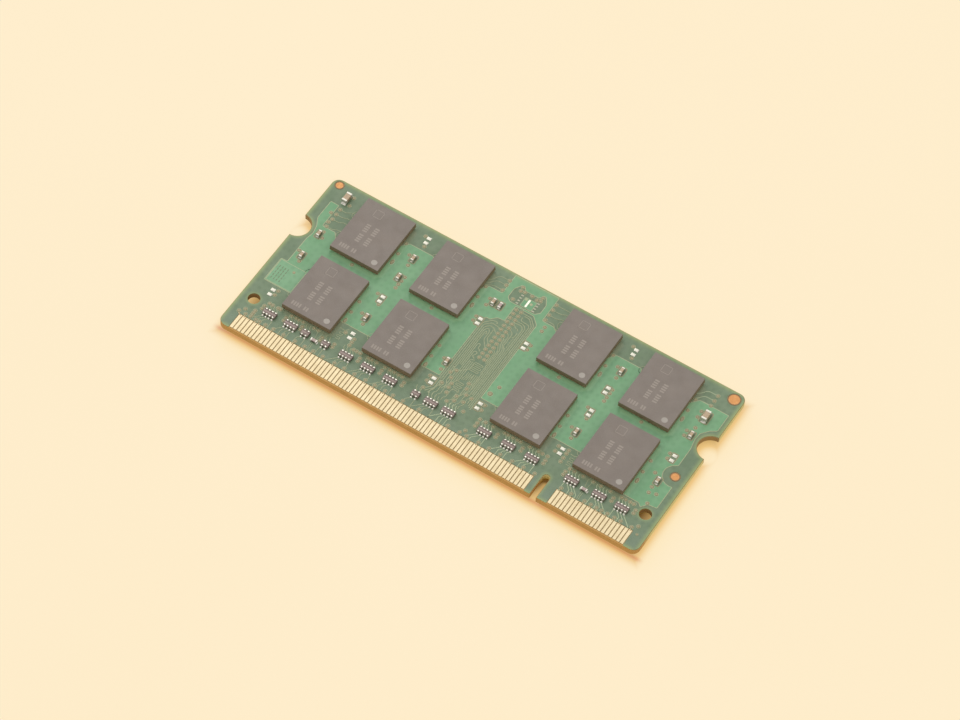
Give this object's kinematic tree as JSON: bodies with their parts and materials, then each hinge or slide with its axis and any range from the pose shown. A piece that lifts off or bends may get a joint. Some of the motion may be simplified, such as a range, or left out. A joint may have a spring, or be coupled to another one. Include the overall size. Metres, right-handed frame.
{
  "type": "memory module",
  "caption": "Keyed small-outline memory module: green circuit board with gold contacts along one long edge, latch notches in both ends and memory packages soldered to both faces.",
  "frame": {"origin": "centre of the board's outline, on the plane of the lower packages' faces, where the module rests", "axes": "+X along the contact edge, +Y from the contact edge to the back edge, +Z out of the face whose key slot lies to the right of its middle"},
  "size_m": [0.0676, 0.03, 0.0033],
  "materials": {
    "laminate": "sawn glass-epoxy laminate, ochre",
    "solder_mask": "green solder mask, satin gloss",
    "gold_plating": "gold over nickel, soft gloss",
    "bare_copper": "bare copper under a thin preservative",
    "solder": "reflowed tin solder, bright",
    "mould_compound": "fine-grained moulding compound, grey-brown",
    "package_substrate": "sawn thin laminate, dark olive",
    "resistor_ceramic": "dark overglaze on alumina",
    "capacitor_ceramic": "sintered tan ceramic"
  },
  "bodies": {
    "root": {"circuit_board": "laminate", "front_solder_mask": "solder_mask", "back_solder_mask": "solder_mask", "front_contacts": "gold_plating", "back_contacts": "gold_plating", "front_fiducials": "bare_copper", "back_fiducials": "bare_copper", "front_solder_balls": "solder", "back_solder_balls": "solder", "front_memory_substrate_1": "package_substrate", "front_memory_case_1": "mould_compound", "front_memory_substrate_2": "package_substrate", "front_memory_case_2": "mould_compound", "front_memory_substrate_3": "package_substrate", "front_memory_case_3": "mould_compound", "front_memory_substrate_4": "package_substrate", "front_memory_case_4": "mould_compound", "front_memory_substrate_5": "package_substrate", "front_memory_case_5": "mould_compound", "front_memory_substrate_6": "package_substrate", "front_memory_case_6": "mould_compound", "front_memory_substrate_7": "package_substrate", "front_memory_case_7": "mould_compound", "front_memory_substrate_8": "package_substrate", "front_memory_case_8": "mould_compound", "back_memory_substrate_1": "package_substrate", "back_memory_case_1": "mould_compound", "back_memory_substrate_2": "package_substrate", "back_memory_case_2": "mould_compound", "back_memory_substrate_3": "package_substrate", "back_memory_case_3": "mould_compound", "back_memory_substrate_4": "package_substrate", "back_memory_case_4": "mould_compound", "back_memory_substrate_5": "package_substrate", "back_memory_case_5": "mould_compound", "back_memory_substrate_6": "package_substrate", "back_memory_case_6": "mould_compound", "back_memory_substrate_7": "package_substrate", "back_memory_case_7": "mould_compound", "back_memory_substrate_8": "package_substrate", "back_memory_case_8": "mould_compound", "front_array_bodies": "resistor_ceramic", "front_array_terminals": "solder", "front_resistor_bodies": "resistor_ceramic", "front_resistor_terminals": "solder", "front_capacitor_bodies": "capacitor_ceramic", "front_capacitor_terminals": "solder", "front_bare_lands": "solder", "back_array_bodies": "resistor_ceramic", "back_array_terminals": "solder", "back_resistor_bodies": "resistor_ceramic", "back_resistor_terminals": "solder", "back_capacitor_bodies": "capacitor_ceramic", "back_capacitor_terminals": "solder", "back_bare_lands": "solder", "front_sensor_footprint": "solder", "identity_chip_case": "mould_compound", "identity_chip_terminals": "solder"}
  },
  "joints": []
}
